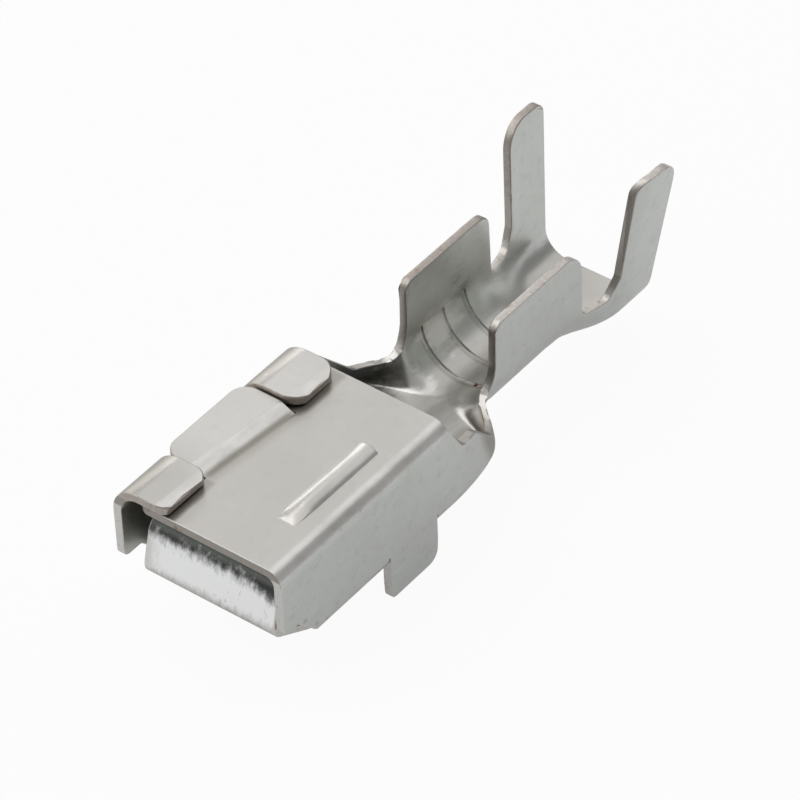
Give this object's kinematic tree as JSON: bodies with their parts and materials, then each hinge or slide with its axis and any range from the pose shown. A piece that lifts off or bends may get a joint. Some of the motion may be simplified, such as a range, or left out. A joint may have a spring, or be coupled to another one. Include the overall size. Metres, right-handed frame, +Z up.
{
  "type": "crimp terminal",
  "caption": "Open-barrel crimp terminal: a folded box with a spring tongue and lock tabs for a flat blade, a narrow neck, and upright wings that fold over the wire and its insulation.",
  "frame": {"origin": "middle of the mouth, on the middle plane of the blade that goes in", "axes": "+X from the mouth to the wire end, +Y to the wall that carries the lock tabs, +Z up"},
  "size_m": [0.0235, 0.0074, 0.0087],
  "materials": {
    "plated_brass": "bright tin plate, satin, over brass strip"
  },
  "bodies": {
    "root": {"terminal": "plated_brass"}
  },
  "joints": []
}
